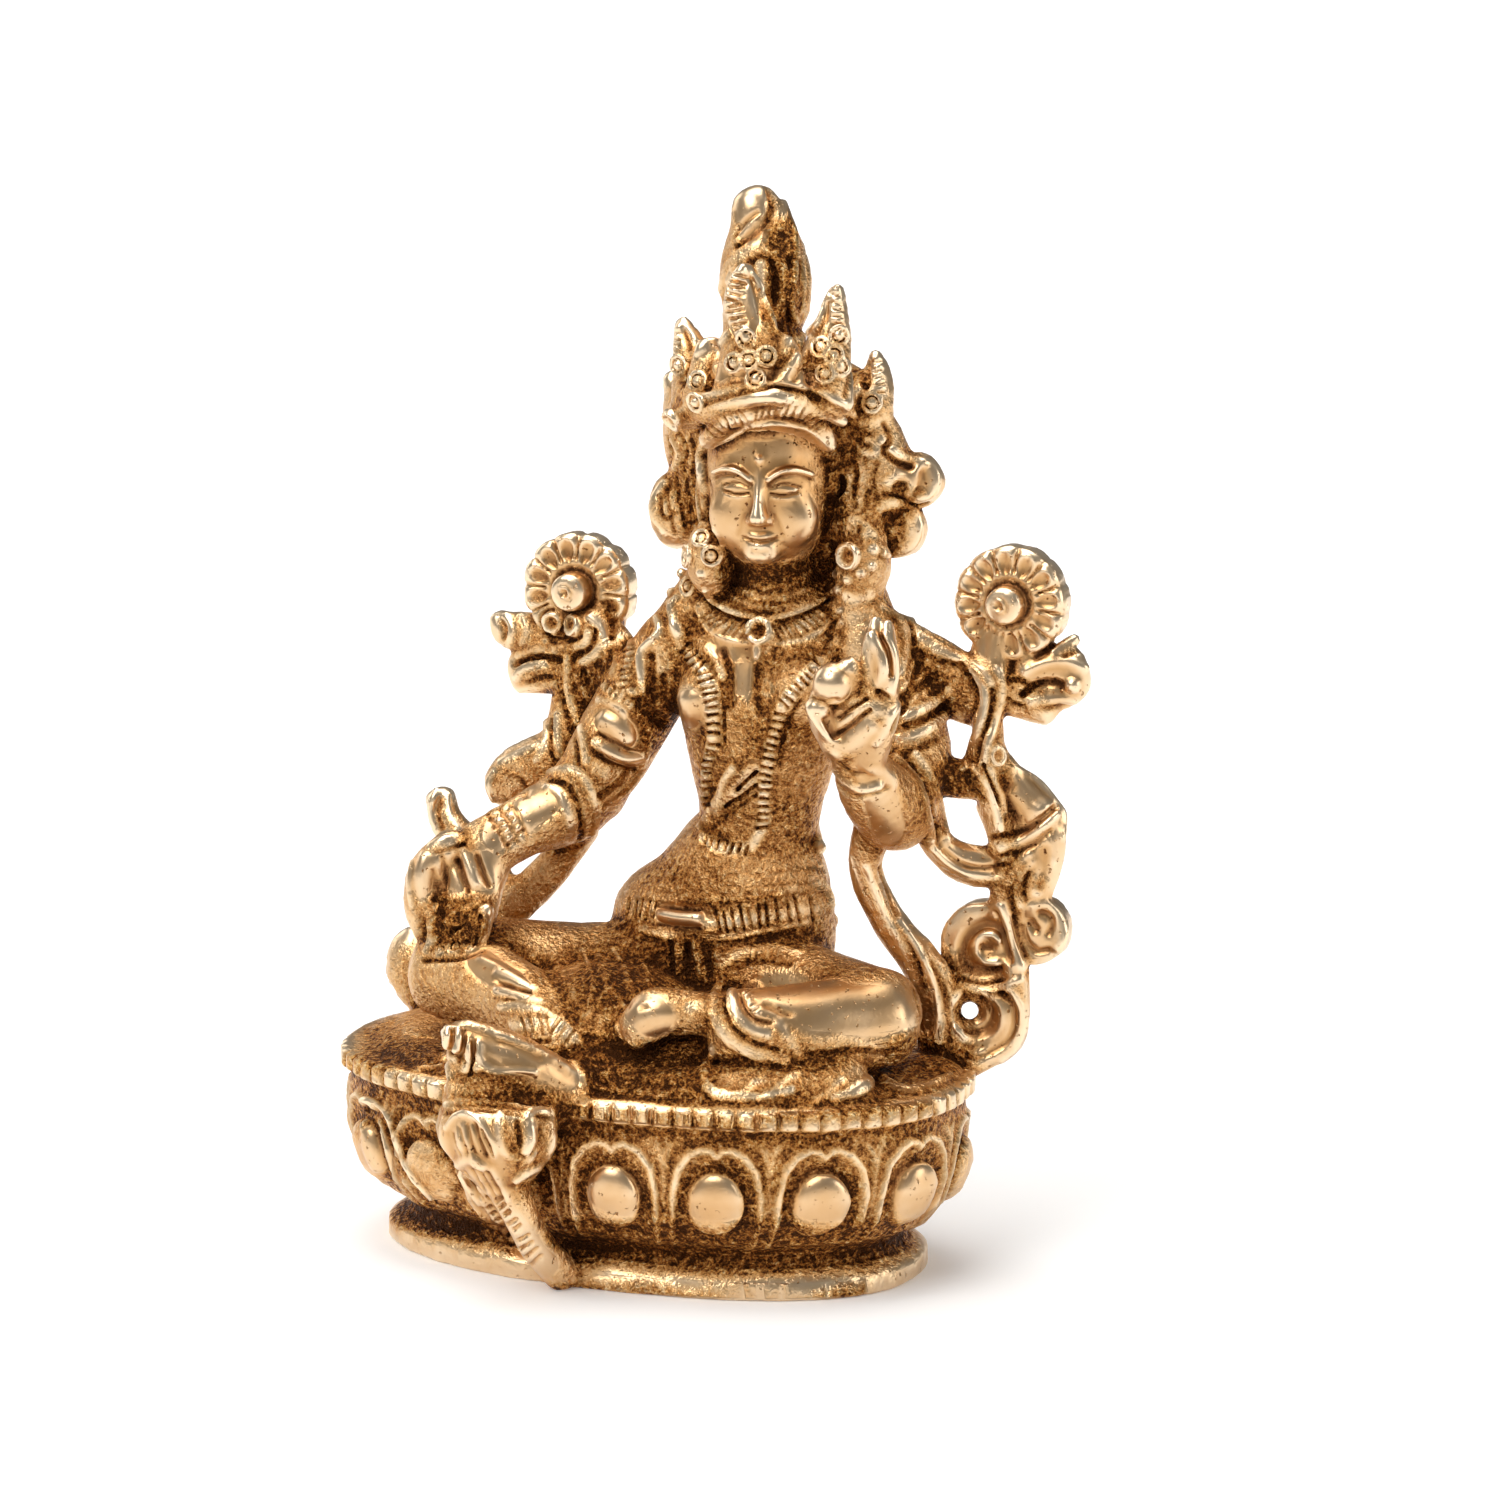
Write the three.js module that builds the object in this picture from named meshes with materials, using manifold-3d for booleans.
// A small brass figure of a seated goddess, cast in one with its oval lotus plinth.
// Millimetres, +Z up. The origin is the middle of the underside and the front faces -Y.
// The figure leans on no other piece: body, scarves, lotus stems and plinth are one solid.
import * as THREE from "three";
import { mergeVertices } from "three/addons/utils/BufferGeometryUtils.js";
import Module from "manifold-3d";

const wasm = await Module();
wasm.setup();

// Plinth
const PLINTH_WIDTH = 55.6;
const PLINTH_DEPTH = 32.5;
const PLINTH_HEIGHT = 17.0;
const FOOT_WIDTH = 47.4;
const FOOT_DEPTH = 26.2;
const FLANGE_HEIGHT = 1.8;
const NECK_HEIGHT = 3.4;
const NECK_INSET = 1.5;
const BOWL_INSET = 0.8;
const RIM_HEIGHT = 1.8;
const SEAT_DROP = 0.8;
const BOWL_MIDDLE = 0.48;
const RIM_GROOVE = 0.6;
const GROOVE_DEPTH = 1.1;
const FLUTE_PITCH = 1.65;
const FLUTE_DEPTH = 0.5;
const SEAT_CROWN = 0.9;
const OVAL_POWER = 2.3;
const PLINTH_COLUMNS = 36;

// Lotus petals round the bowl of the plinth
const PETAL_COUNT = 16;
const PETAL_TURN = 0.29;
const PETAL_BOSS_WIDTH = 4.3;
const PETAL_BOSS_HEIGHT = 5.4;
const PETAL_PROUD = 1.1;
const ARCH_SHARE = 0.84;
const ARCH_RISE = 0.78;
const ARCH_ROUND = 0.6;
const ARCH_BAND = 0.55;

// Figure, drawn 73.8 above the seat and made at FIGURE_HEIGHT
const FIGURE_HEIGHT = 73.8;
const HEAD_TURN = 10;
const BEAD_SIZE = 1.1;
const ROSETTE_PETALS = 12;
const ROSETTE_THICKNESS = 2.6;

// Small lotus under the foot, hung on the front of the plinth
const BRACKET_PLACE = -6.2;
const BRACKET_REACH = 2.2;
const BRACKET_WIDTH = 9.6;
const BRACKET_PETALS = 6;

// Facets narrower than this, left where forms cross, are merged.
const SLIVER = 0.28;

const BRASS = { color: 0xb58a3c, roughness: 0.35, metalness: 1.0 };
const FRONT = new THREE.Vector3(0, -1, 0);
const TOP = new THREE.Vector3(0, 0, 1);
const FIGURE_SCALE = FIGURE_HEIGHT / 73.8;
const SEAT = PLINTH_HEIGHT - SEAT_DROP;

// Solids from rings of points

// A closed skin over rings of equal length, with a pole at each end.
function skin(rings, firstPole, lastPole) {
  const sides = rings[0].length;
  const vertices = [firstPole, ...rings.flat(), lastPole];
  const last = vertices.length - 1;
  const triangles = [];
  const index = (ring, side) => 1 + ring * sides + (side % sides);
  for (let side = 0; side < sides; side++) {
    triangles.push([0, index(0, side), index(0, side + 1)]);
    for (let ring = 0; ring + 1 < rings.length; ring++) {
      const a = index(ring, side);
      const b = index(ring, side + 1);
      const c = index(ring + 1, side + 1);
      const d = index(ring + 1, side);
      triangles.push([a, d, b], [b, d, c]);
    }
    triangles.push([last, index(rings.length - 1, side + 1), index(rings.length - 1, side)]);
  }
  const faces = triangles.map((t) => t.map((i) => vertices[i]));
  const volume = faces.reduce((sum, [a, b, c]) => sum + a.clone().cross(b).dot(c), 0);
  const outward = volume < 0 ? triangles.map(([a, b, c]) => [a, c, b]) : triangles;
  const geometry = new THREE.BufferGeometry().setFromPoints(vertices);
  geometry.setIndex(outward.flat());
  return geometry;
}

function toSolid(geometry) {
  geometry.deleteAttribute("normal");
  geometry.deleteAttribute("uv");
  const merged = mergeVertices(geometry, 1e-4);
  return new wasm.Manifold(
    new wasm.Mesh({
      numProp: 3,
      vertProperties: new Float32Array(merged.attributes.position.array),
      triVerts: new Uint32Array(merged.index.array),
    }),
  );
}

// A limb, ribbon or stem through stations of [x, y, z, half width, half depth].
// Its half width lies across its run and its half depth lies towards face.
function limb(stations, { sides = 6, steps = 1, face = FRONT, tip = 0.6 } = {}) {
  const route = new THREE.CatmullRomCurve3(stations.map(([x, y, z]) => new THREE.Vector3(x, y, z)));
  const sizes = new THREE.CatmullRomCurve3(stations.map(([, , , w, d]) => new THREE.Vector3(w, d, 0)));
  const count = (stations.length - 1) * steps;
  // A section with few sides has the area of the full ellipse.
  const fit = Math.sqrt((2 * Math.PI) / sides / Math.sin((2 * Math.PI) / sides));
  const rings = Array.from({ length: count + 1 }, (_, i) => {
    const along = route.getTangent(i / count);
    const across = along.clone().cross(face).normalize();
    const out = across.clone().cross(along).normalize();
    const size = sizes.getPoint(i / count);
    return Array.from({ length: sides }, (_, side) => {
      const turn = (2 * Math.PI * (side + 0.5)) / sides;
      return route
        .getPoint(i / count)
        .addScaledVector(across, fit * size.x * Math.cos(turn))
        .addScaledVector(out, fit * size.y * Math.sin(turn));
    });
  });
  const pole = (share, push) => {
    const size = sizes.getPoint(share);
    const reach = push * Math.min(size.x, size.y);
    return route.getPoint(share).addScaledVector(route.getTangent(share), reach);
  };
  return skin(rings, pole(0, -tip), pole(1, tip));
}

function ball([x, y, z], [rx, ry, rz], segments = 6) {
  const geometry = new THREE.SphereGeometry(1, segments, segments > 6 ? 5 : 4);
  geometry.rotateX(Math.PI / 2);
  geometry.scale(rx, ry, rz);
  geometry.translate(x, y, z);
  return geometry;
}

function bead([x, y, z]) {
  return new THREE.OctahedronGeometry(BEAD_SIZE).translate(x, y, z);
}

// A ring of the plinth's oval, or of any oval with the same power.
function oval(halfWidth, halfDepth, z, columns, power = OVAL_POWER) {
  return Array.from({ length: columns }, (_, i) => {
    const turn = (2 * Math.PI * i) / columns;
    const c = Math.cos(turn);
    const s = Math.sin(turn);
    const x = halfWidth * Math.sign(c) * Math.abs(c) ** (2 / power);
    const y = halfDepth * Math.sign(s) * Math.abs(s) ** (2 / power);
    return new THREE.Vector3(x, y, z);
  });
}

// A band round the body: an oval drum, tilted up towards +X by slope.
function drum([x, y, z], levels, slope = 0, columns = 12) {
  const rings = levels.map(([rise, halfWidth, halfDepth]) =>
    oval(halfWidth, halfDepth, rise, columns, 2).map(
      (p) => new THREE.Vector3(x + p.x, y + p.y, z + p.z + slope * p.x),
    ),
  );
  const low = new THREE.Vector3(x, y, z + levels[0][0]);
  const high = new THREE.Vector3(x, y, z + levels.at(-1)[0]);
  return skin(rings, low, high);
}

// Plinth, in its own sizes

const level = (z, share, columns = PLINTH_COLUMNS) =>
  oval(
    PLINTH_WIDTH / 2 + ((FOOT_WIDTH - PLINTH_WIDTH) / 2) * share,
    PLINTH_DEPTH / 2 + ((FOOT_DEPTH - PLINTH_DEPTH) / 2) * share,
    z,
    columns,
  );
const FLARE = (PLINTH_WIDTH - FOOT_WIDTH) / 2;
const BOWL_TOP = PLINTH_HEIGHT - RIM_HEIGHT - RIM_GROOVE;
const NECK_SHARE = 1 + NECK_INSET / FLARE;
const BOWL_SHARE = BOWL_INSET / FLARE;
// The bowl swells from the neck up to its full width, as a share of its height.
const bowlShare = (height) => NECK_SHARE + (BOWL_SHARE - NECK_SHARE) * (1 - (1 - height) ** 3) ** 0.8;

function plinthBody() {
  const bowl = [0.12, 0.35, 0.65, 1].map((height) =>
    level(NECK_HEIGHT + (BOWL_TOP - NECK_HEIGHT) * height, bowlShare(height)),
  );
  const groove = BOWL_SHARE + GROOVE_DEPTH / FLARE;
  const rings = [
    level(0, 1),
    level(FLANGE_HEIGHT, 1),
    level(FLANGE_HEIGHT + (NECK_HEIGHT - FLANGE_HEIGHT) * 0.4, NECK_SHARE),
    level(NECK_HEIGHT, NECK_SHARE),
    ...bowl,
    level(BOWL_TOP + RIM_GROOVE * 0.3, groove),
    level(PLINTH_HEIGHT - RIM_HEIGHT, groove),
    level(PLINTH_HEIGHT - RIM_HEIGHT / 2, BOWL_SHARE),
    level(PLINTH_HEIGHT - RIM_HEIGHT / 2 + SEAT_CROWN, 2 * BOWL_SHARE + 1),
  ];
  const top = PLINTH_HEIGHT + SEAT_CROWN / 2;
  return skin(rings, new THREE.Vector3(), new THREE.Vector3(0, 0, top));
}

// The rim band, cut all round by upright flutes.
function rimBand() {
  const mean = (PLINTH_WIDTH + PLINTH_DEPTH) / 2;
  const around = Math.PI * (1.5 * mean - Math.sqrt(PLINTH_WIDTH * PLINTH_DEPTH) / 2);
  const flutes = Math.round(around / FLUTE_PITCH);
  const cut = FLUTE_DEPTH / FLARE;
  const lip = evenOval(flutes * 2, 0);
  const inner = evenOval(flutes * 2, cut);
  const toothed = lip.map((p, i) => (i % 2 ? inner[i] : p));
  const at = (z) => toothed.map((p) => new THREE.Vector3(p.x, p.y, z));
  const low = PLINTH_HEIGHT - RIM_HEIGHT;
  return skin(
    [at(low), at(PLINTH_HEIGHT)],
    new THREE.Vector3(0, 0, low),
    new THREE.Vector3(0, 0, PLINTH_HEIGHT),
  );
}

// Points at even distances round the plinth's oval at a share of its flare.
function evenOval(count, share, start = 0, columns = 720) {
  const fine = level(0, share, columns);
  const gaps = fine.map((p, i) => p.distanceTo(fine[(i + 1) % columns]));
  const around = gaps.reduce((sum, gap) => sum + gap, 0);
  const points = [];
  let run = 0;
  let next = (start * around) / count;
  for (let i = 0; points.length < count; i = (i + 1) % columns) {
    while (run + gaps[i] >= next && points.length < count) {
      points.push(fine[i].clone().lerp(fine[(i + 1) % columns], (next - run) / gaps[i]));
      next += around / count;
    }
    run += gaps[i];
  }
  return points;
}

// A point on the bowl: its turn counts petals, and its rise is measured from a petal's middle.
function onBowl(turn, rise, proud = 0) {
  const height = BOWL_MIDDLE + rise / (BOWL_TOP - NECK_HEIGHT);
  const share = bowlShare(THREE.MathUtils.clamp(height, 0, 1)) - proud / FLARE;
  const [point] = evenOval(1, share, turn / PETAL_COUNT);
  return point.setZ(NECK_HEIGHT + (BOWL_TOP - NECK_HEIGHT) * height);
}

// One raised petal: a smooth boss under an arched band that follows the bowl.
function petal(index) {
  const turn = index + PETAL_TURN;
  const half = PETAL_BOSS_HEIGHT / 2;
  const upward = onBowl(turn, half * 0.8).sub(onBowl(turn, -half * 0.8)).normalize();
  const along = onBowl(turn + 0.1, 0).sub(onBowl(turn - 0.1, 0)).normalize();
  const inward = new THREE.Vector3().crossVectors(upward, along);
  const place = new THREE.Matrix4().makeBasis(along, inward, upward).setPosition(onBowl(turn, 0));
  const boss = ball([0, 0, 0], [PETAL_BOSS_WIDTH / 2, PETAL_PROUD, half]).applyMatrix4(place);
  const arch = [-20, 45, 90, 135, 200].map((degrees) => {
    const angle = THREE.MathUtils.degToRad(degrees);
    const side = (Math.sign(Math.cos(angle)) * Math.abs(Math.cos(angle)) ** ARCH_ROUND * ARCH_SHARE) / 2;
    const point = onBowl(turn + side, Math.sin(angle) * PETAL_BOSS_HEIGHT * ARCH_RISE, ARCH_BAND * 0.3);
    return [...point.toArray(), ARCH_BAND, ARCH_BAND];
  });
  return [boss, limb(arch, { sides: 4, face: inward })];
}

const petals = () => Array.from({ length: PETAL_COUNT }, (_, index) => petal(index)).flat();

// Small lotus that carries the forward foot, with its stem down to the plinth's flange
function footLotus() {
  const y = -(PLINTH_DEPTH / 2 + BRACKET_REACH);
  const seat = SEAT;
  const half = BRACKET_WIDTH / 2;
  const bell = limb(
    [
      [BRACKET_PLACE, y, seat + 0.9, half, half * 0.84],
      [BRACKET_PLACE, y, seat - 1.4, half, half * 0.76],
      [BRACKET_PLACE, y, seat - 4.1, half * 0.68, half * 0.58],
      [BRACKET_PLACE + 0.5, y, seat - 6.4, half * 0.4, half * 0.42],
    ],
    { sides: 10 },
  );
  const stemEnd = -(FOOT_DEPTH / 2 + 1.0);
  const stem = limb(
    [
      [BRACKET_PLACE + 0.4, y, seat - 5.8, 1.8, 1.9],
      [BRACKET_PLACE + 1.7, y + 0.2, seat - 8.7, 1.4, 1.6],
      [BRACKET_PLACE + 2.4, (y + stemEnd) / 2 - 0.2, seat - 12, 1.5, 1.6],
      [BRACKET_PLACE + 3.4, stemEnd, FLANGE_HEIGHT * 0.9, 1.9, 1.6],
    ],
    { sides: 8 },
  );
  const leaves = [];
  for (let i = 0; i < BRACKET_PETALS; i++) {
    const turn = Math.PI * (1.06 + (0.88 * i) / (BRACKET_PETALS - 1));
    const x = BRACKET_PLACE + Math.cos(turn) * half * 0.86;
    const front = y + Math.sin(turn) * half * 0.7;
    leaves.push(
      limb(
        [
          [x, front, seat + 0.3, 1.0, 0.8],
          [x, front - 0.2, seat - 1.9, 1.15, 0.8],
          [BRACKET_PLACE + (x - BRACKET_PLACE) * 0.6, y + (front - y) * 0.72, seat - 4.9, 0.5, 0.6],
        ],
        { sides: 5 },
      ),
    );
  }
  return [bell, stem, ...leaves];
}

// Figure, in drawn millimetres above the seat

function torso() {
  return [
    limb(
      [
        [5.3, 5.5, 4.0, 9.0, 6.6],
        [5.3, 5.5, 7.7, 8.5, 6.6],
        [5.4, 6, 11.1, 8.5, 6.2],
        [6.1, 6, 14.7, 7.4, 5.6],
        [7.0, 6, 18.2, 5.4, 4.6],
        [7.4, 6, 22.1, 5.3, 4.5],
        [7.6, 5.8, 26.5, 6.4, 5.0],
        [7.9, 5.6, 30.8, 7.6, 5.2],
        [8.3, 6, 34.2, 8.1, 4.8],
        [9.1, 6, 36.8, 7.1, 3.8],
        [9.7, 6, 38.9, 4.6, 3.2],
      ],
      { sides: 10 },
    ),
    ball([1.4, 6, 11.6], [7.2, 5.8, 5.2], 8),
    limb([[3.9, 5.6, 42.2, 1.9, 2.4], [1.6, 6, 38.4, 2.5, 3.0], [-0.9, 6, 34.6, 2.5, 3.2]]),
    limb([[16.1, 5.8, 42.2, 1.7, 2.4], [16.7, 6, 38.6, 2.3, 3.0], [18.3, 6, 34.6, 2.5, 3.2]]),
    ball([4.5, 2.4, 31.6], [3.0, 2.4, 2.9]),
    ball([12.3, 2.6, 32.4], [3.0, 2.4, 2.9]),
    drum([5.3, 6, 13.6], [[-0.9, 8.9, 6.8], [0, 9.3, 7.1], [0.9, 8.9, 6.8]], 0.13),
    drum([4.9, 5.8, 11.6], [[-0.8, 9.4, 7.3], [0, 9.7, 7.6], [0.8, 9.3, 7.2]], 0.13),
    limb([[1.4, -0.9, 12.9, 0.7, 0.8], [6.0, -1.4, 13.5, 0.8, 0.8]]),
    limb([[2.6, -1.0, 11.0, 0.6, 0.8], [2.7, -1.6, 8.0, 0.5, 0.8]], { sides: 5 }),
    limb([[4.6, -1.2, 11.2, 0.6, 0.8], [4.9, -1.8, 8.0, 0.5, 0.8]], { sides: 5 }),
  ];
}

// Neck, face and ears. The face is calm and plain, on the usual thirds from hairline to chin.
function head() {
  const turned = (geometry) => {
    geometry.translate(-8.9, -4.6, 0);
    geometry.rotateZ(THREE.MathUtils.degToRad(HEAD_TURN));
    return geometry.translate(8.9, 4.6, 0);
  };
  const hairline = 54.0;
  const chin = 43.0;
  const third = (hairline - chin) / 3;
  const brow = hairline - third;
  const nostrils = brow - third;
  const lips = nostrils - third * 0.36;
  const eyes = brow - 0.8;
  const centre = 8.9;
  const neck = limb(
    [
      [9.8, 5.9, 37.6, 3.9, 3.5],
      [9.4, 5.4, 41.2, 3.4, 3.2],
      [9.1, 5.2, 45, 3.4, 3.2],
    ],
    { sides: 10 },
  );
  const parts = [
    limb(
      [
        [centre, 2.6, chin + 0.8, 2.4, 2.3],
        [centre, 3.5, chin + 2.6, 4.1, 4.0],
        [centre, 4.2, nostrils + 0.6, 5.0, 5.2],
        [centre, 4.6, brow, 5.3, 5.8],
        [centre, 5.0, hairline, 5.1, 5.6],
        [centre, 5.4, hairline + 3, 3.8, 4.4],
      ],
      { sides: 10 },
    ),
    limb(
      [
        [centre, -0.9, brow - 0.2, 0.5, 0.5],
        [centre, -1.5, nostrils + 1.3, 0.6, 0.8],
        [centre, -1.7, nostrils + 0.2, 1.0, 0.9],
      ],
      { sides: 6 },
    ),
    limb(
      [
        [centre - 1.4, -0.5, lips, 0.45, 0.5],
        [centre, -1.0, lips, 0.65, 0.6],
        [centre + 1.4, -0.5, lips, 0.45, 0.5],
      ],
    ),
    ball([centre, -0.2, chin + 1.2], [1.5, 1.2, 1.1], 6),
  ];
  for (const side of [-1, 1]) {
    parts.push(
      limb(
        [
          [centre + side * 0.9, -0.9, brow + 0.1, 0.3, 0.4],
          [centre + side * 2.4, -0.6, brow + 0.7, 0.35, 0.4],
          [centre + side * 4.0, 0.9, brow + 0.1, 0.25, 0.4],
        ],
        { sides: 5 },
      ),
      ball([centre + side * 2.1, 0.1, eyes], [1.1, 0.8, 0.55], 6),
      limb(
        [
          [centre + side * 5.2, 4.2, brow + 0.4, 0.7, 1.1],
          [centre + side * 5.6, 4.4, eyes - 0.6, 0.8, 1.1],
          [centre + side * 5.5, 4.2, nostrils - 0.2, 0.7, 0.9],
        ],
        { sides: 6 },
      ),
    );
  }
  return [neck, ...parts.map(turned)];
}

// Hair behind the head with its tufts and discs, the five-leaved crown and the tall topknot.
function hairAndCrown() {
  const leaf = (...stations) => limb(stations, { sides: 5 });
  return [
    limb(
      [
        [9.7, 7.4, 42.2, 5.9, 2.6],
        [9.2, 7.4, 46, 8.4, 3.4],
        [8.6, 7.2, 51, 9.8, 4],
        [8.3, 6.9, 55.4, 9.4, 4.6],
        [8.1, 6.6, 58.0, 6.4, 4.0],
      ],
      { sides: 10 },
    ),
    ball([-0.6, 7, 46.4], [2.4, 1.9, 3.3]),
    ball([20.6, 7.5, 49.8], [2.4, 1.9, 2.3]),
    ball([19.2, 7.5, 45.7], [2.4, 1.8, 2.4], 8),
    leaf([16.9, 6.5, 55.5, 1.3, 1.8], [18.4, 7, 52.6, 1.5, 1.8], [19.2, 7.2, 49.5, 1.2, 1.6]),
    drum([9.1, 3.9, 56.4], [[-1.5, 6.6, 7.2], [-0.6, 7.4, 8.0], [1.6, 7.6, 7.9]], 0.05),
    leaf(
      [3.7, 0.4, 55.0, 0.7, 0.8],
      [6.3, -2.6, 56.3, 0.8, 0.9],
      [9.6, -4.2, 57.2, 0.8, 0.9],
      [13.0, -4.4, 57.5, 0.8, 0.9],
      [16.8, 0, 55.2, 0.7, 0.8],
    ),
    leaf(
      [5.1, 0.2, 53.6, 0.8, 0.7],
      [7.3, -1.4, 54.8, 0.9, 0.7],
      [10.2, -1.9, 55.4, 0.9, 0.7],
      [13.4, -0.8, 54.9, 0.9, 0.7],
      [14.8, 1.6, 53.4, 0.8, 0.7],
    ),
    leaf(
      [9.8, -3.0, 57.6, 3.2, 1.7],
      [9.8, -2.5, 61.4, 2.5, 1.5],
      [9.1, -2, 64.6, 1.9, 1.2],
      [8.7, -1.5, 67.4, 0.6, 0.7],
    ),
    leaf(
      [14.8, -0.4, 57.0, 3.0, 1.7],
      [15, 0.5, 59.6, 2.3, 1.5],
      [15.4, 1, 62.5, 1.6, 1.2],
      [15.8, 1.5, 65.8, 0.5, 0.7],
    ),
    leaf(
      [4.2, 0.4, 55.6, 2.8, 1.7],
      [3.6, 1, 58.0, 2.1, 1.4],
      [2.9, 1.5, 60.5, 1.5, 1.2],
      [2.0, 2, 62.6, 0.6, 0.7],
    ),
    leaf([17.2, 5.8, 54.6, 1.9, 1.6], [17.5, 6.4, 58.0, 1.3, 1.3], [17.2, 7, 60.0, 0.5, 0.7]),
    leaf([0.9, 6, 53.8, 1.9, 1.8], [-0.6, 6.5, 57.6, 0.8, 1.0]),
    limb(
      [
        [8.2, 6.5, 58.0, 3.8, 3.7],
        [7.8, 6.6, 61.4, 3.4, 3.3],
        [7.4, 6.8, 64.1, 3.9, 3.2],
        [7.5, 7, 66.8, 4.2, 3],
        [7.2, 7, 69.4, 3.3, 2.6],
        [6.6, 7, 71.4, 2.6, 2.2],
        [6.4, 7, 73.0, 1.5, 1.6],
      ],
      { sides: 10 },
    ),
    leaf(
      [9.6, 4.2, 61.2, 0.7, 0.8],
      [7.4, 3.6, 63.4, 0.7, 0.8],
      [6.0, 3.9, 66.0, 0.7, 0.8],
      [7.6, 4.2, 68.6, 0.6, 0.8],
      [8.3, 4.6, 71.0, 0.5, 0.7],
    ),
    leaf(
      [5.4, 4.4, 61.0, 0.6, 0.8],
      [8.6, 3.6, 64.2, 0.6, 0.8],
      [9.9, 4.4, 67.2, 0.6, 0.8],
      [8.6, 4.6, 69.8, 0.5, 0.7],
    ),
    ball([8.0, 3.6, 66.0], [0.9, 0.8, 1.3], 6),
  ];
}

// Collar, pendant, strands of beads, sash and the clusters at the ears.
function jewels() {
  const strand = (...stations) => limb(stations.map((p) => [...p, 0.6, 0.6]), { sides: 4 });
  const beads = [
    [3.1, 0.3, 43.4], [5.0, 0.2, 43.6], [4.5, 0.6, 45.1], [3.0, 0.9, 41.0], [4.6, 0.9, 41.6],
    [16.9, 2.0, 44.0], [16.6, 2.5, 46.0], [18.1, 3.0, 45.5], [16.0, 2.6, 41.9], [18.1, 3.0, 42.4],
    [17.0, 2.9, 40.6],
  ];
  return [
    limb(
      [
        [3.4, 4.4, 40.1, 0.6, 1.0],
        [5.7, 2.4, 39.4, 0.6, 1.0],
        [9.0, 1.6, 38.9, 0.6, 1.2],
        [12.9, 2.3, 39.4, 0.6, 1.0],
        [15.4, 4.6, 40.6, 0.6, 1.0],
      ],
      { sides: 5 },
    ),
    limb(
      [
        [3.2, 3.9, 38.5, 0.9, 1.1],
        [5.4, 2.3, 37.3, 1.0, 1.1],
        [9.2, 1.5, 36.5, 1.1, 1.1],
        [12.9, 2.0, 37.0, 1.0, 1.1],
        [15.3, 4.3, 38.9, 0.9, 1.1],
      ],
      { sides: 5 },
    ),
    ball([10.2, 0.3, 37.4], [1.2, 0.9, 1.2]),
    ball([10.1, 0.4, 35.9], [0.6, 1.0, 1.1]),
    strand(
      [1.7, 2.2, 36.1],
      [3.7, 0.7, 33.9],
      [4.9, 0.2, 31.1],
      [4.7, 1.3, 27.1],
      [4.2, 2.1, 23.5],
      [3.8, 2.4, 20.9],
    ),
    strand(
      [15.1, 2.6, 36.4],
      [13.4, 0.9, 34.1],
      [11.7, 0.4, 31.5],
      [10.3, 1.0, 27.9],
      [9.9, 1.5, 24.0],
      [8.8, 1.6, 20.9],
      [6.6, 1.6, 19.1],
      [3.9, 2.4, 18.7],
    ),
    limb(
      [
        [3.8, 2.4, 20.2, 0.8, 0.7],
        [5.7, 1.5, 22.9, 0.9, 0.8],
        [6.8, 1.1, 25.1, 0.9, 0.8],
        [8.9, 1.0, 26.3, 0.8, 0.8],
      ],
      { sides: 4 },
    ),
    ball([4.1, 3.2, 43.1], [2.2, 2.8, 3.2], 8),
    ball([17.0, 4.8, 43.3], [2.3, 2.8, 3.4], 8),
    ...beads.map(bead),
  ];
}

// The figure's right arm comes down to the knee, palm outwards and open.
function rightArm() {
  const finger = (x, reach) =>
    limb(
      [
        [x, -5.2, 13.2, 0.75, 0.9],
        [x - 0.1, -6.0, 11.2, 0.7, 0.8],
        [x - 0.2, -6.2, reach, 0.55, 0.6],
      ],
      { sides: 5 },
    );
  return [
    limb(
      [
        [-0.6, 6, 34.7, 3.1, 3.4],
        [-3, 5.8, 31, 3.6, 3.6],
        [-5.0, 5, 27.1, 3.6, 3.6],
        [-7.3, 4, 22.9, 3.2, 3.5],
      ],
      { sides: 8 },
    ),
    limb(
      [
        [-7.6, 3.8, 22.4, 3.2, 3.4],
        [-9.0, 2.4, 21.0, 3.2, 3.3],
        [-11.8, 0, 19.7, 2.6, 2.6],
        [-14.3, -2, 18.1, 2.5, 2.2],
      ],
      { sides: 8 },
    ),
    limb([[-8.2, 3.0, 21.8, 3.8, 3.9], [-9.6, 2.1, 21.0, 3.7, 3.7]], { sides: 8, tip: 0.15 }),
    limb([[-12.2, -0.4, 19.3, 2.9, 2.8], [-13.0, -1.0, 18.9, 2.9, 2.7]], { sides: 8, tip: 0.15 }),
    limb([[-3.0, 5.7, 31.6, 4.0, 4.0], [-3.9, 5.4, 29.8, 4.0, 4.0]], { sides: 8, tip: 0.15 }),
    limb([[-14.4, -2.2, 18.2, 2.5, 2], [-15.3, -3.6, 15.6, 3.1, 1.9], [-15.5, -4.4, 12.8, 2.9, 1.5]]),
    finger(-17.4, 10.2),
    finger(-16.0, 9.6),
    finger(-14.6, 9.9),
    finger(-13.2, 10.6),
    limb(
      [
        [-16.9, -3.6, 18.3, 1.5, 1.8],
        [-18.7, -4.4, 16, 1.8, 1.8],
        [-19.3, -4.6, 13.0, 1.6, 1.5],
        [-18.9, -4.8, 10.8, 1.0, 1.1],
      ],
    ),
    limb(
      [
        [-1.6, 3.0, 35.6, 1.1, 0.9],
        [-2.6, 2.4, 32.0, 1.0, 0.9],
        [-5.8, 1.9, 27.6, 0.8, 0.9],
        [-8.0, 1.0, 24.0, 0.7, 0.8],
      ],
    ),
  ];
}

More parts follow.
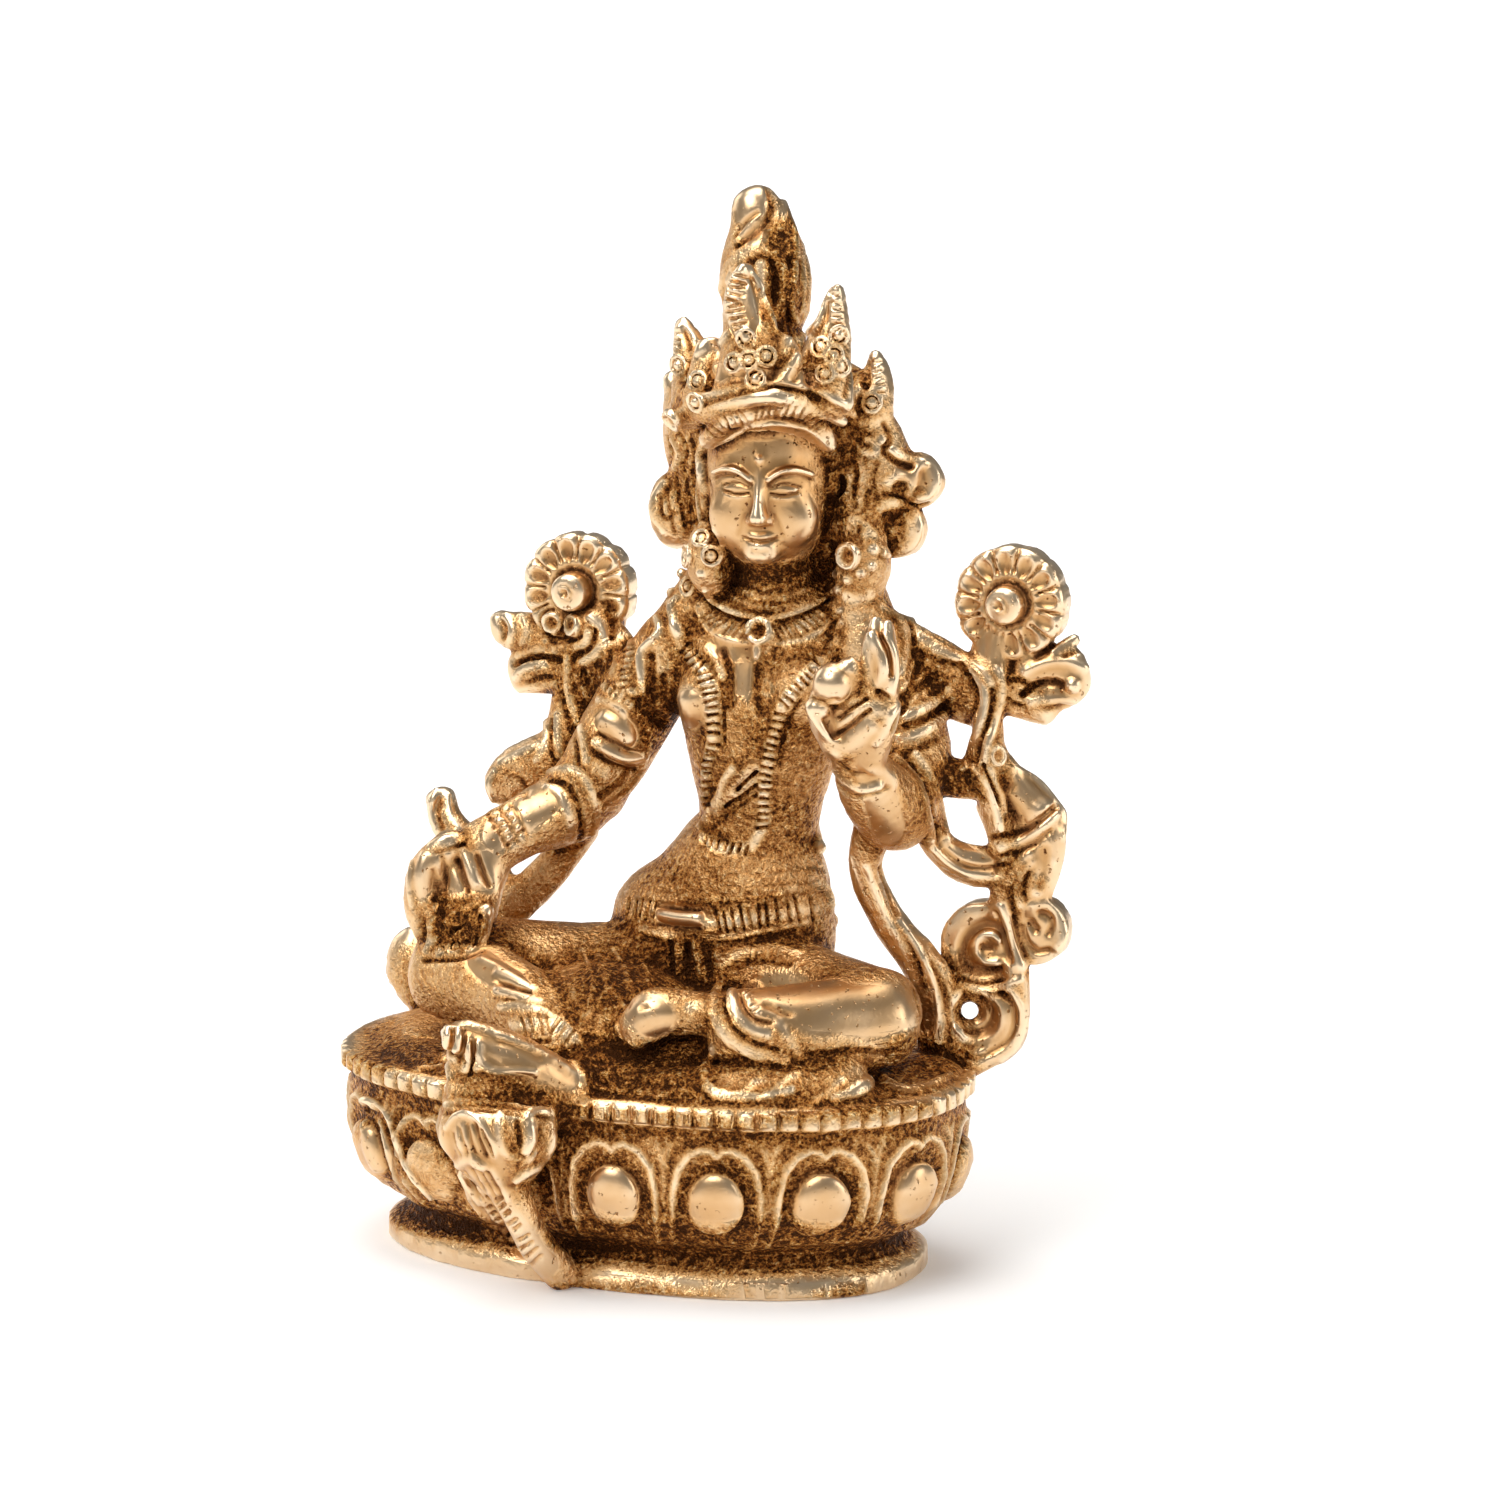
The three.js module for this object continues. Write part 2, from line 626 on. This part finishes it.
// The figure's left arm is raised, the hand turned up with thumb and ring finger closed on a ball.
function leftArm() {
  return [
    limb(
      [
        [17.2, 6, 35.8, 3.0, 3.4],
        [19.5, 6, 31.5, 3.4, 3.6],
        [20.9, 5, 27.1, 3.5, 3.6],
        [20.8, 3.2, 23.6, 3.2, 3.5],
      ],
      { sides: 8 },
    ),
    limb(
      [
        [20.7, 2.6, 22.8, 3.3, 3.4],
        [20.4, -0.8, 24.6, 3.1, 3],
        [20.1, -4, 26.9, 2.4, 2.3],
      ],
      { sides: 8 },
    ),
    limb([[20.5, 0.4, 24.0, 3.6, 3.6], [20.4, -0.9, 24.7, 3.5, 3.4]], { sides: 8, tip: 0.15 }),
    limb([[20, -4.6, 27.9, 2.1, 1.9], [20.2, -6, 30.6, 2.9, 2], [21.1, -6.6, 33.4, 3.0, 1.8]]),
    limb([[22.9, -6.4, 33.4, 0.8, 1.0], [23.0, -6.6, 37.0, 0.8, 0.9], [22.7, -6.0, 39.8, 0.5, 0.6]]),
    limb([[21.6, -6.8, 33.6, 0.8, 1.0], [21.7, -7.0, 37.6, 0.8, 0.9], [21.7, -6.0, 40.0, 0.5, 0.6]]),
    limb([[20.4, -6.9, 33.4, 0.8, 1.0], [20.3, -7.8, 36.2, 0.8, 0.9], [19.8, -8.2, 36.4, 0.6, 0.7]]),
    limb([[18.7, -6.4, 29.7, 1.3, 1.6], [17.6, -7.2, 32.3, 1.2, 1.5], [18.1, -7.8, 34.6, 1.0, 1.2]]),
    ball([18.9, -8.1, 35.1], [1.7, 1.6, 1.7]),
  ];
}

// The left leg lies folded on the seat. The right leg comes down forward onto the small lotus.
function legs() {
  const hem = (...stations) => limb(stations.map((p) => [...p, 0.6, 0.8]), { sides: 4 });
  const toes = [6.3, 5.3, 4.3, 3.4].map((z, i) =>
    ball([-9.8 + i * 0.25, -18.9 + i * 0.1, z], [1.3, 1.3, 0.7], 6),
  );
  const ribs = [0.3, 0.5, 0.7].map((share) => {
    const x = -11.1 + share * 9.5;
    return limb(
      [
        [x - 1.8, -6.4 - share * 5.4, 9.4 - share * 3.2, 0.5, 0.7],
        [x + 0.6, -9.6 - share * 4.2, 7.4 - share * 3.0, 0.5, 0.7],
      ],
      { sides: 4 },
    );
  });
  return [
    limb(
      [
        [6.4, 4, 7.8, 4.2, 4.4],
        [11.4, 2.2, 7.4, 3.8, 4.2],
        [15.6, 0.4, 7.0, 3.7, 4.0],
        [20.8, -1.8, 6.4, 3.8, 3.8],
      ],
      { sides: 8 },
    ),
    limb(
      [
        [21.0, -2, 6.1, 3.9, 3.8],
        [17.1, -5.5, 5.8, 4.0, 3.6],
        [13.4, -8, 6.0, 3.5, 3.3],
        [10.8, -9.2, 6.3, 3.0, 2.9],
      ],
      { sides: 8 },
    ),
    limb(
      [
        [9.8, -9, 6.9, 1.6, 2],
        [6.7, -9.8, 7.3, 1.8, 1.9],
        [4.3, -10.4, 7.1, 2.1, 2.1],
        [2.8, -10.8, 5.6, 1.6, 1.7],
      ],
    ),
    hem([10.4, -6.6, 9.4], [8.8, -9.6, 8.6], [9.4, -12.0, 6.6], [12.2, -12.2, 4.2], [16.3, -10.4, 2.8]),
    hem([12.2, -7.4, 9.4], [11.2, -10.6, 8.4], [12.4, -12.2, 6.4], [15.6, -11.4, 4.0]),
    limb(
      [
        [1.7, 4, 7.8, 4.2, 4.6],
        [-5.6, 1.5, 7.0, 4.3, 4.6],
        [-11.9, -1, 7.2, 4.5, 4.4],
        [-17.0, -3, 7.8, 4.3, 4.2],
      ],
      { sides: 8 },
    ),
    limb(
      [
        [-17.4, -4, 7.4, 4.0, 3.6],
        [-11.1, -7, 7, 3.2, 3.2],
        [-5.7, -10, 5.6, 2.7, 2.8],
        [-1.6, -12.4, 3.8, 2, 2.3],
      ],
      { sides: 8 },
    ),
    ...ribs,
    limb(
      [
        [0.7, -13.6, 1.5, 1.2, 1.3],
        [-1.6, -15.5, 3, 1.8, 1.8],
        [-5.3, -17.2, 4.3, 2.2, 1.8],
        [-8.6, -18.4, 4.8, 2.2, 1.5],
      ],
    ),
    ...toes,
    ball([-3.0, -2.5, 4.2], [9.5, 7.5, 4.2], 8),
    ball([9, -3.5, 3.4], [10.5, 6.5, 4.0], 8),
    ball([-19.5, 2.0, 0.2], [7.0, 8.0, 1.8], 8),
    limb([[-12, -4, 2.2, 4.0, 4.0], [-4, -9, 1.6, 3.6, 3.0], [2, -12, 0.8, 2.2, 2.0]]),
    hem(
      [10.4, -10.6, 2.6],
      [9.4, -12.4, 1.0],
      [11.2, -13.2, 0.3],
      [14.4, -13.0, 0.2],
      [17.6, -11.8, 0.2],
    ),
    hem([21.0, -8.6, 0.2], [22.6, -7.2, 0.6], [23.8, -5.6, 0.2], [24.8, -2.6, 0.3]),
  ];
}

// A lotus flower seen full face: petals round a raised, dished heart.
function rosette([x, y, z], radius) {
  const columns = ROSETTE_PETALS * 2;
  const half = ROSETTE_THICKNESS / 2;
  const ringAt = (share, out, scallop) =>
    Array.from({ length: columns }, (_, i) => {
      const turn = (2 * Math.PI * i) / columns;
      const notch = i % 2 ? 1 - scallop : 1;
      const reach = radius * share * notch;
      return new THREE.Vector3(x + Math.cos(turn) * reach, y - out * notch, z + Math.sin(turn) * reach);
    });
  const rings = [
    ringAt(0.86, -half, 0.05),
    ringAt(1, half * 0.4, 0.12),
    ringAt(0.5, half, 0.04),
    ringAt(0.36, half + 1.0, 0),
  ];
  return skin(rings, new THREE.Vector3(x, y + half, z), new THREE.Vector3(x, y - half - 0.6, z));
}

// A rolled scarf end: a flat disc with a raised edge that winds inwards.
function scroll([x, y, z], radius, halfDepth, start, turns = 1.2) {
  const reach = radius * 0.9;
  const disc = limb(
    [
      [x, y + halfDepth, z, reach, reach],
      [x, y - halfDepth * 0.5, z, reach, reach],
    ],
    { sides: 10, face: TOP, tip: 0.02 },
  );
  const steps = 7;
  const edge = Array.from({ length: steps }, (_, i) => {
    const share = i / (steps - 1);
    const turn = start + share * turns * 2 * Math.PI;
    const out = radius * (0.86 - 0.62 * share);
    const place = [x + Math.cos(turn) * out, y - halfDepth * 0.5, z + Math.sin(turn) * out];
    return [...place, radius * 0.17, halfDepth * 0.6];
  });
  return [disc, limb(edge, { sides: 4 })];
}

function lotusesAndScarves() {
  const band = (...stations) => limb(stations, { sides: 4 });
  return [
    // Beside the figure's right shoulder
    rosette([-9.8, 8, 39.1], 5.0),
    band([-13.0, 8.4, 34.8, 2.0, 1.4], [-16.6, 8.5, 35.0, 1.6, 1.2], [-17.8, 8.5, 36.0, 0.8, 0.8]),
    band([-11.0, 8, 32.0, 2.1, 1.5], [-15.8, 8.5, 31.5, 2.0, 1.2]),
    band(
      [-10.1, 8.2, 37.4, 2.2, 1.5],
      [-10.2, 8, 34.0, 2.1, 1.5],
      [-10.3, 7.5, 29.4, 2.0, 1.6],
      [-11.3, 6.6, 25.6, 2.0, 1.5],
      [-14.6, 6, 22.8, 2.7, 1.4],
      [-17.0, 6, 21.6, 1.6, 1.2],
    ),
    band([-2.5, 6.6, 31.5, 2.2, 1.6], [-7.5, 7.4, 30.0, 2.2, 1.5], [-10.2, 7.6, 29.0, 1.8, 1.4]),
    band([-6.0, 5.4, 24.0, 2.4, 1.6], [-9.5, 6.4, 25.0, 2.2, 1.5], [-11.4, 6.6, 25.4, 1.8, 1.4]),
    // From the wrist down behind the knee to the seat
    band([-8.4, 4.4, 19.0, 1.6, 1.5], [-11.3, 4.2, 15.0, 1.6, 1.4], [-14.3, 3.8, 12.0, 1.8, 1.4]),
    band(
      [-15.6, 4.0, 12.0, 1.6, 1.5],
      [-16.6, 4.2, 14.6, 1.4, 1.4],
      [-18.4, 4.4, 16.4, 1.4, 1.3],
      [-21.2, 5, 18.2, 1.5, 1.3],
      [-22.1, 5.4, 20.4, 1.3, 1.2],
    ),
    band(
      [-14.3, 3.8, 12.9, 1.8, 1.5],
      [-16.8, 4.2, 9.6, 1.8, 1.5],
      [-19.4, 5.4, 6.4, 1.8, 1.5],
      [-22.6, 7.2, 3.2, 1.7, 1.5],
      [-24.6, 8.4, 0.4, 1.9, 1.6],
    ),
    ball([-26.4, 8.8, 4.4], [2.6, 1.8, 3.4]),
    band([-24.4, 8.2, 0.2, 1.8, 1.6], [-26.2, 8.8, 2.6, 1.8, 1.6]),
    // Beside the figure's left shoulder
    rosette([29.0, 8, 40.0], 4.9),
    band([30.2, 8.2, 34.6, 2.3, 1.5], [32.8, 8.5, 33.9, 2.9, 1.3], [34.8, 8.4, 34.2, 1.5, 0.9]),
    band([28.6, 7.8, 32.4, 2.0, 1.4], [32.0, 8, 31.2, 1.5, 1.2]),
    band([18.4, 6.6, 36.2, 2.6, 1.8], [23.0, 7.4, 33.4, 3.0, 1.5], [26.4, 7.5, 31.6, 2.4, 1.4]),
    band(
      [27.6, 8.0, 37.0, 2.0, 1.5],
      [27.2, 7.6, 34.6, 1.8, 1.5],
      [27.2, 7, 30.1, 1.3, 1.5],
      [27.4, 6.6, 26.4, 1.5, 1.5],
      [28.1, 6.5, 22.6, 1.1, 1.4],
      [29.0, 6.8, 18.8, 1.1, 1.3],
    ),
    band([22.2, 5.4, 25.9, 1.6, 1.6], [26.3, 6.4, 25.4, 1.3, 1.4]),
    band(
      [22.0, 4.3, 24.6, 1.5, 1.6],
      [23.2, 5, 20.2, 1.3, 1.5],
      [25.6, 6, 17.6, 1.4, 1.4],
      [28.8, 7, 17.8, 1.6, 1.3],
      [31.2, 7.4, 20.6, 1.8, 1.3],
      [31.9, 7.4, 22.8, 1.2, 1.2],
    ),
    band(
      [27.4, 6.8, 27.2, 1.4, 1.3],
      [29.3, 7.4, 24.6, 1.5, 1.3],
      [31.8, 7.5, 21.8, 1.6, 1.3],
      [31.9, 7.4, 19.0, 1.9, 1.3],
      [31.0, 7.2, 14.6, 1.5, 1.2],
    ),
    band([28.8, 7, 13.6, 1.2, 1.2], [28.6, 7, 17.2, 1, 1.2]),
    ...scroll([31.4, 7.4, 12.5], 3.0, 1.4, 0.4),
    ...scroll([27, 7.4, 10.9], 3.9, 1.5, 2.6),
    ...scroll([26, 7, 5.2], 3.7, 1.5, 1.2),
    band(
      [29.8, 7, 9.6, 1.1, 1.3],
      [29.9, 7, 4.7, 1.2, 1.3],
      [29.1, 6.6, 1.9, 1.4, 1.3],
      [26.8, 5.4, -0.3, 2.0, 1.4],
    ),
    band(
      [19.0, 2.6, 22.0, 1.9, 1.5],
      [17.7, 3.4, 17.6, 1.4, 1.4],
      [19.4, 4.6, 12.9, 1.5, 1.4],
      [22.2, 5.4, 9.1, 1.8, 1.4],
      [23.8, 6, 5.2, 2.2, 1.5],
      [24.2, 6, 0.6, 2.6, 1.6],
    ),
  ];
}

// The small round hole through the lowest scarf roll is cut last.
function holes() {
  const [x, z, radius] = [26, 5.2, 0.8];
  const pin = [
    [x, 12, z, radius, radius],
    [x, 2, z, radius, radius],
  ];
  return [limb(pin, { sides: 8, face: TOP, tip: 0.15 })];
}

function onSeat(geometry) {
  geometry.scale(FIGURE_SCALE, FIGURE_SCALE, FIGURE_SCALE);
  return geometry.translate(0, 0, SEAT);
}

function join(geometries) {
  return geometries.map(toSolid).reduce((whole, piece) => whole.add(piece));
}

// Pockets closed in between the forms are metal, as in a casting.
function filled(solid) {
  const skins = solid.decompose().filter((piece) => piece.volume() > 0);
  return skins.reduce((whole, piece) => whole.add(piece));
}

function casting() {
  const figure = [
    ...torso(),
    ...head(),
    ...hairAndCrown(),
    ...jewels(),
    ...rightArm(),
    ...leftArm(),
    ...legs(),
    ...lotusesAndScarves(),
  ].map(onSeat);
  const plinth = [plinthBody(), rimBand(), ...petals(), ...footLotus()];
  const whole = join([...plinth, ...figure]);
  const cuts = join(holes().map(onSeat));
  return filled(whole.subtract(cuts).asOriginal().simplify(SLIVER));
}

function toGeometry(solid) {
  const mesh = solid.getMesh();
  const geometry = new THREE.BufferGeometry();
  geometry.setAttribute("position", new THREE.BufferAttribute(new Float32Array(mesh.vertProperties), 3));
  geometry.setIndex(new THREE.BufferAttribute(new Uint32Array(mesh.triVerts), 1));
  geometry.computeVertexNormals();
  return geometry;
}

const figure = new THREE.Mesh(toGeometry(casting()), new THREE.MeshStandardMaterial(BRASS));
figure.name = "tara_figure";

const part = new THREE.Group();
part.add(figure);

export default part;
